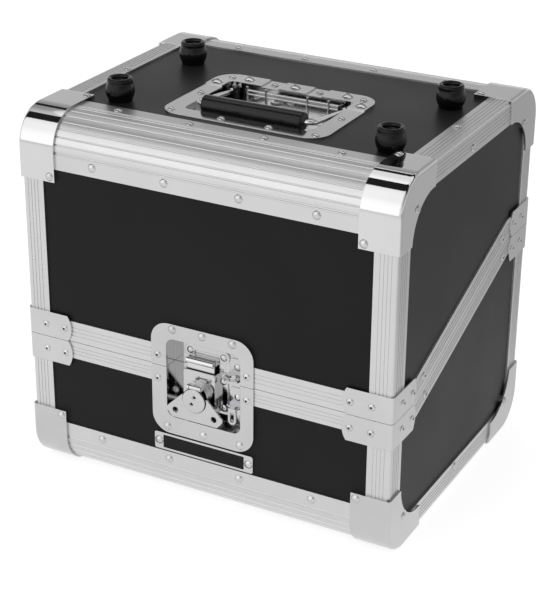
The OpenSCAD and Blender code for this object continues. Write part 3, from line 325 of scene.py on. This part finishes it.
# feet: barrels with a rolled top lip round a deep recess
FOOT_DRAWN_HIGH = 19.8
BARREL_R = 11.2
BARREL_BULGE = 2.1
BARREL_Z0 = 2.0
BARREL_RISE = 13.4
BARREL_STEPS = 12
foot_profile = [(2.1, 0.2), (10.6, 0.2), (10.9, 0.5), (BARREL_R, BARREL_Z0)]
foot_profile += [(BARREL_R + BARREL_BULGE * math.sin(math.pi * k / BARREL_STEPS) ** 0.8,
                  BARREL_Z0 + BARREL_RISE * k / BARREL_STEPS) for k in range(1, BARREL_STEPS)]
foot_profile += [(11.4, 15.4)] + arc(9.5, 17.6, 2.2, -10, 155, 10)
foot_profile += [(7.3, 17.2), (7.0, 15.6), (6.6, 15.1), (2.1, 15.0)]
bm = bmesh.new()
for lo, hi in islands("feet"):
    mid = (lo + hi) / 2
    scale = (hi.z - lo.z) / MM / FOOT_DRAWN_HIGH
    lathe(bm, [(r, h * scale) for r, h in foot_profile],
          Matrix.Translation((mid.x, mid.y, lo.z)), 72)
feet = finish_piece(bm, "rubber_feet", RUBBER, "lid")
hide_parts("feet")

# grip: a slimmer sleeve with rounded ends, along X on the bail's front bar
SLEEVE_R = 8.7
SLEEVE_BORE_R = 2.55
SLEEVE_ROUND = 2.0
g_lo, g_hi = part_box("grip")
g_mid = (g_lo + g_hi) / 2
g_half = (g_hi.x - g_lo.x) / 2 / MM
sleeve = [(SLEEVE_BORE_R, -g_half), (SLEEVE_R - 2.2, -g_half)]
sleeve += arc(SLEEVE_R - SLEEVE_ROUND, SLEEVE_ROUND - g_half, SLEEVE_ROUND, -85, 0, 5)
sleeve += [(r, -h) for r, h in reversed(sleeve)]
bm = bmesh.new()
lathe(bm, sleeve, Matrix.Translation(g_mid) @ Matrix.Rotation(math.radians(90), 4, "Y"), 72)
grip = finish_piece(bm, "handle_sleeve", GRIP, "handle")
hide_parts("grip")

# wing: a proud face on the disc, with two dimples, a black ring of painted shade in the gap round
# it and black discs of painted shade on the dimple floors
DISC_R = 11.4
DISC_X = -0.007
DISC_Z = 0.1116
DISC = [(0, 0.25), (DISC_R - 0.6, 0.25), (DISC_R - 0.15, 0.1), (DISC_R, -0.2),
        (DISC_R, -0.7), (0, -0.7)]
# black ring behind the disc edge: painted shade in the gap between disc and plate
GAP_SHADE_RING = [(DISC_R - 0.3, -0.65), (DISC_R + 0.55, -0.65), (DISC_R + 0.55, -0.78),
         (DISC_R - 0.3, -0.78)]
DIMPLES = ((0.6, 3.7), (-2.3, -3.6))
DIMPLE_CUT = [(0, 2.0), (2.1, 2.0), (2.1, -0.2), (1.5, -0.55), (0, -0.6)]
# black disc at the bottom of each dimple: painted shade in the recess
DIMPLE_SHADE = [(0, -0.5), (1.35, -0.5), (1.45, -0.62), (0, -0.62)]
disc_at = Vector((DISC_X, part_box("latch_wing")[0].y, DISC_Z))
outward_y = Matrix.Rotation(math.radians(90), 4, "X")
disc_place = Matrix.Translation(disc_at) @ outward_y
dimple_places = [Matrix.Translation(disc_at + Vector((dx, 0, dz)) * MM) @ outward_y
                 for dx, dz in DIMPLES]

bm = bmesh.new()
lathe(bm, DISC, disc_place, 96)
boss = finish_piece(bm, "wing_disc", BRIGHT, "wing")
bm = bmesh.new()
for place in dimple_places:
    lathe(bm, DIMPLE_CUT, place, 32)
bmesh.ops.recalc_face_normals(bm, faces=bm.faces)
cutter_mesh = bpy.data.meshes.new("dimple_cutter")
bm.to_mesh(cutter_mesh)
bm.free()
cutter = bpy.data.objects.new("dimple_cutter", cutter_mesh)
bpy.context.scene.collection.objects.link(cutter)
mod = boss.modifiers.new("dimples", "BOOLEAN")
mod.object = cutter
mod.operation = "DIFFERENCE"
mod.solver = "EXACT"
dg = bpy.context.evaluated_depsgraph_get()
cut_mesh = bpy.data.meshes.new_from_object(boss.evaluated_get(dg))
boss.modifiers.clear()
boss.data = cut_mesh
bpy.data.objects.remove(cutter)

# painted shade: the ring in the gap round the disc and the discs on the dimple floors
bm = bmesh.new()
lathe(bm, GAP_SHADE_RING, disc_place, 96)
for place in dimple_places:
    lathe(bm, DIMPLE_SHADE, place, 24)
finish_piece(bm, "wing_gap_shade", SHADE_BLACK, "wing")

# pop rivets: a black plug in each head, painted shade for the hollow round the drawn mandrel
RIVET_HOLLOW_SHADE = [(0, 0.02), (0.75, 0.02), (1.0, -0.3), (0.9, -0.8), (0, -0.8)]
for node, body in (("lid_pop_rivets", "lid"), ("base_pop_rivets", "base")):
    bm = bmesh.new()
    for lo, hi in islands(node):
        size = hi - lo
        mid = (lo + hi) / 2
        axis = min(range(3), key=lambda k: abs(size[(k + 1) % 3] - size[(k + 2) % 3]))
        outward = 1 if mid[axis] > 0 else -1
        head = mid.copy()
        head[axis] = (hi if outward > 0 else lo)[axis]
        turn = {0: Matrix.Rotation(math.radians(90 * outward), 4, "Y"),
                1: Matrix.Rotation(math.radians(-90 * outward), 4, "X"),
                2: Matrix.Identity(4)}[axis]
        lathe(bm, RIVET_HOLLOW_SHADE, Matrix.Translation(head) @ turn, 20)
    finish_piece(bm, body + "_hollow_shade", SHADE_BLACK, body)

# ---------------------------------------------------------------- studio


def light_path(nt, *names):
    """1 for rays of any of the named kinds, else 0."""
    lp = nt.nodes.new("ShaderNodeLightPath")
    got = lp.outputs[names[0]]
    for n in names[1:]:
        m = nt.nodes.new("ShaderNodeMath")
        m.operation = "MAXIMUM"
        nt.links.new(got, m.inputs[0])
        nt.links.new(lp.outputs[n], m.inputs[1])
        got = m.outputs[0]
    return got


def along(nt, vec, direction):
    """How far a vector reaches along a direction."""
    n = nt.nodes.new("ShaderNodeVectorMath")
    n.operation = "DOT_PRODUCT"
    n.inputs[1].default_value = direction
    nt.links.new(vec, n.inputs[0])
    return n.outputs["Value"]


def blend(nt, fac, a, b):
    n = nt.nodes.new("ShaderNodeMixShader")
    nt.links.new(fac, n.inputs[0])
    nt.links.new(a, n.inputs[1])
    nt.links.new(b, n.inputs[2])
    return n.outputs[0]


def backdrop(nt, strength):
    b = nt.nodes.new("ShaderNodeBackground")
    b.inputs["Color"].default_value = WHITE
    b.inputs["Strength"].default_value = strength
    return b


# world: a soft fill, white to the camera, and a glow in reflections that is brighter low
# down and in one soft patch over the front left
FILL = 0.44
GLOW_PATCH = (-0.40, -0.68, 0.61)
world = bpy.data.worlds.new("studio")
bpy.context.scene.world = world
world.use_nodes = True
wt = world.node_tree
wt.nodes.clear()
w_out = wt.nodes.new("ShaderNodeOutputWorld")
w_dir = wt.nodes.new("ShaderNodeTexCoord").outputs["Generated"]
w_up = wt.nodes.new("ShaderNodeSeparateXYZ")
wt.links.new(w_dir, w_up.inputs[0])
w_sum = wt.nodes.new("ShaderNodeMath")
w_sum.operation = "ADD"
wt.links.new(span(wt, w_up.outputs["Z"], 0.05, 0.55, 1.0, 0.42), w_sum.inputs[0])
wt.links.new(span(wt, along(wt, w_dir, GLOW_PATCH), 0.50, 0.97, 0.0, 1.05), w_sum.inputs[1])
w_glow = backdrop(wt, 1.0)
wt.links.new(w_sum.outputs[0], w_glow.inputs["Strength"])
w_unseen = blend(wt, light_path(wt, "Is Glossy Ray", "Is Transmission Ray"),
                 backdrop(wt, FILL).outputs[0], w_glow.outputs[0])
w_all = blend(wt, light_path(wt, "Is Camera Ray"), w_unseen, backdrop(wt, 1.0).outputs[0])
wt.links.new(w_all, w_out.inputs["Surface"])


def sheet_mesh(name, half_x, half_y):
    me = bpy.data.meshes.new(name)
    bm = bmesh.new()
    bmesh.ops.create_grid(bm, x_segments=2, y_segments=2, size=1.0)
    for v in bm.verts:
        v.co.x *= half_x
        v.co.y *= half_y
    bm.to_mesh(me)
    bm.free()
    o = bpy.data.objects.new(name, me)
    bpy.context.scene.collection.objects.link(o)
    return o


def bare_material(name):
    m = bpy.data.materials.new(name)
    m.use_nodes = True
    m.node_tree.nodes.clear()
    return m, m.node_tree, m.node_tree.nodes.new("ShaderNodeOutputMaterial")


def diffuse(nt, level):
    n = nt.nodes.new("ShaderNodeBsdfDiffuse")
    n.inputs["Color"].default_value = (level, level, level, 1)
    return n.outputs[0]


def emission(nt):
    n = nt.nodes.new("ShaderNodeEmission")
    n.inputs["Color"].default_value = WHITE
    return n


# floor: pale and plain, white where it is seen, dimmer to the back right in reflections
FLOOR_HALF = 12.0
FLOOR_GLOW = 0.74
FLOOR_FAR_GLOW = 0.22
TO_BACK_RIGHT = (0.75, 0.66, 0.0)
floor = sheet_mesh("floor", FLOOR_HALF, FLOOR_HALF)
floor_mat, ft, f_out = bare_material("pale_floor")
f_place = ft.nodes.new("ShaderNodeNewGeometry").outputs["Position"]
f_far = span(ft, along(ft, f_place, TO_BACK_RIGHT), 0.1, 0.6, FLOOR_GLOW, FLOOR_FAR_GLOW)
f_dim = ft.nodes.new("ShaderNodeMix")
f_dim.data_type = "FLOAT"
f_dim.inputs["A"].default_value = FLOOR_GLOW
ft.links.new(f_far, f_dim.inputs["B"])
ft.links.new(light_path(ft, "Is Glossy Ray"), f_dim.inputs["Factor"])
f_glow = emission(ft)
ft.links.new(f_dim.outputs["Result"], f_glow.inputs["Strength"])
f_add = ft.nodes.new("ShaderNodeAddShader")
ft.links.new(diffuse(ft, 0.45), f_add.inputs[0])
ft.links.new(f_glow.outputs[0], f_add.inputs[1])
f_all = blend(ft, light_path(ft, "Is Camera Ray", "Is Glossy Ray", "Is Transmission Ray"),
              diffuse(ft, 0.8), f_add.outputs[0])
ft.links.new(f_all, f_out.inputs["Surface"])
floor.data.materials.append(floor_mat)

# two dark cards over the case, seen only in its reflections
CARD_GLOW = 0.02
CARD_HEIGHT = 2.1
CARD_HALF_LENGTH = 3.0
card_mat, ct, c_out = bare_material("dark_card")
c_glow = emission(ct)
c_glow.inputs["Strength"].default_value = CARD_GLOW
ct.links.new(c_glow.outputs[0], c_out.inputs["Surface"])
for name, y, half_y in (("card_near", -0.45, 0.36), ("card_far", 1.22, 0.26)):
    card = sheet_mesh(name, CARD_HALF_LENGTH, half_y)
    card.location = (0, y, CARD_HEIGHT)
    card.data.materials.append(card_mat)
    card.visible_camera = False
    card.visible_diffuse = False
    card.visible_shadow = False
    card.visible_transmission = False


def lamp(name, place, aim, size, watts, mirrored=True):
    d = bpy.data.lights.new(name, "AREA")
    d.shape = "RECTANGLE"
    d.size, d.size_y = size
    d.energy = watts
    o = bpy.data.objects.new(name, d)
    bpy.context.scene.collection.objects.link(o)
    o.location = place
    o.rotation_euler = (Vector(aim) - Vector(place)).to_track_quat("-Z", "Y").to_euler()
    o.visible_glossy = mirrored


lamp("key", (-1.2, -2.0, 2.6), (0, 0, 0.2), (3.4, 2.4), 34, False)
lamp("fill", (2.2, -1.2, 1.5), (0, 0, 0.2), (1.8, 1.8), 14, False)
lamp("top", (0.0, 0.6, 2.4), (0, 0, 0.3), (3.2, 2.2), 17)
